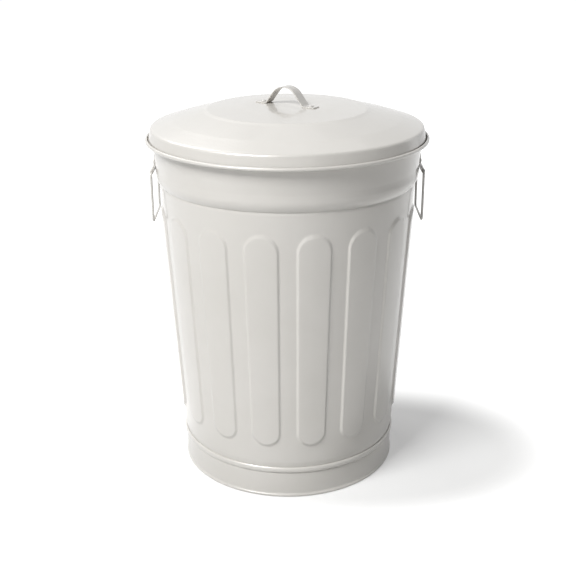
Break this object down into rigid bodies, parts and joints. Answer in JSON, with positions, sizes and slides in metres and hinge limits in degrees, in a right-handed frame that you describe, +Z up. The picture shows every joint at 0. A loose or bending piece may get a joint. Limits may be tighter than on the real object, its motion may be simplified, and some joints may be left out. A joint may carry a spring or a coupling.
{
  "type": "round lidded trash can",
  "caption": "tall tapered sheet-metal bin with pressed flutes in its wall, a swaged collar, a domed lift-off lid with a strap handle, and a drop handle of wire at each side",
  "frame": {"origin": "centre of the foot circle on the floor", "axes": "+Z up; the drop handles hang at +X and -X; the front is towards -Y and the wall's folded seam runs up the back at +Y"},
  "size_m": [0.4818, 0.4818, 0.6787],
  "materials": {
    "coat": "smooth satin-gloss pale warm grey coating over zinc-coated sheet",
    "rivet": "coated with the sheet, a little duller",
    "bail": "coated round wire, satin"
  },
  "bodies": {
    "can": {"body_shell": "coat", "bottom_pan": "coat", "foot_band": "coat", "right_handle_bracket": "coat", "left_handle_bracket": "coat", "bracket_rivets": "rivet"},
    "lid": {"lid_shell": "coat", "lid_handle": "coat", "lid_handle_rivets": "rivet"},
    "right_handle": {"right_bail": "bail"},
    "left_handle": {"left_bail": "bail"}
  },
  "joints": [
    {"name": "lid_lift", "type": "slide", "parent": "can", "child": "lid", "axis": [0, 0, 1], "range_m": [0, 0.16]},
    {"name": "right_handle_swing", "type": "hinge", "parent": "can", "child": "right_handle", "pos_m": [0.22972, 0, 0.541], "axis": [0, -1, 0], "range_deg": [-4, 160]},
    {"name": "left_handle_swing", "type": "hinge", "parent": "can", "child": "left_handle", "pos_m": [-0.22972, 0, 0.541], "axis": [0, 1, 0], "range_deg": [-4, 160]}
  ]
}
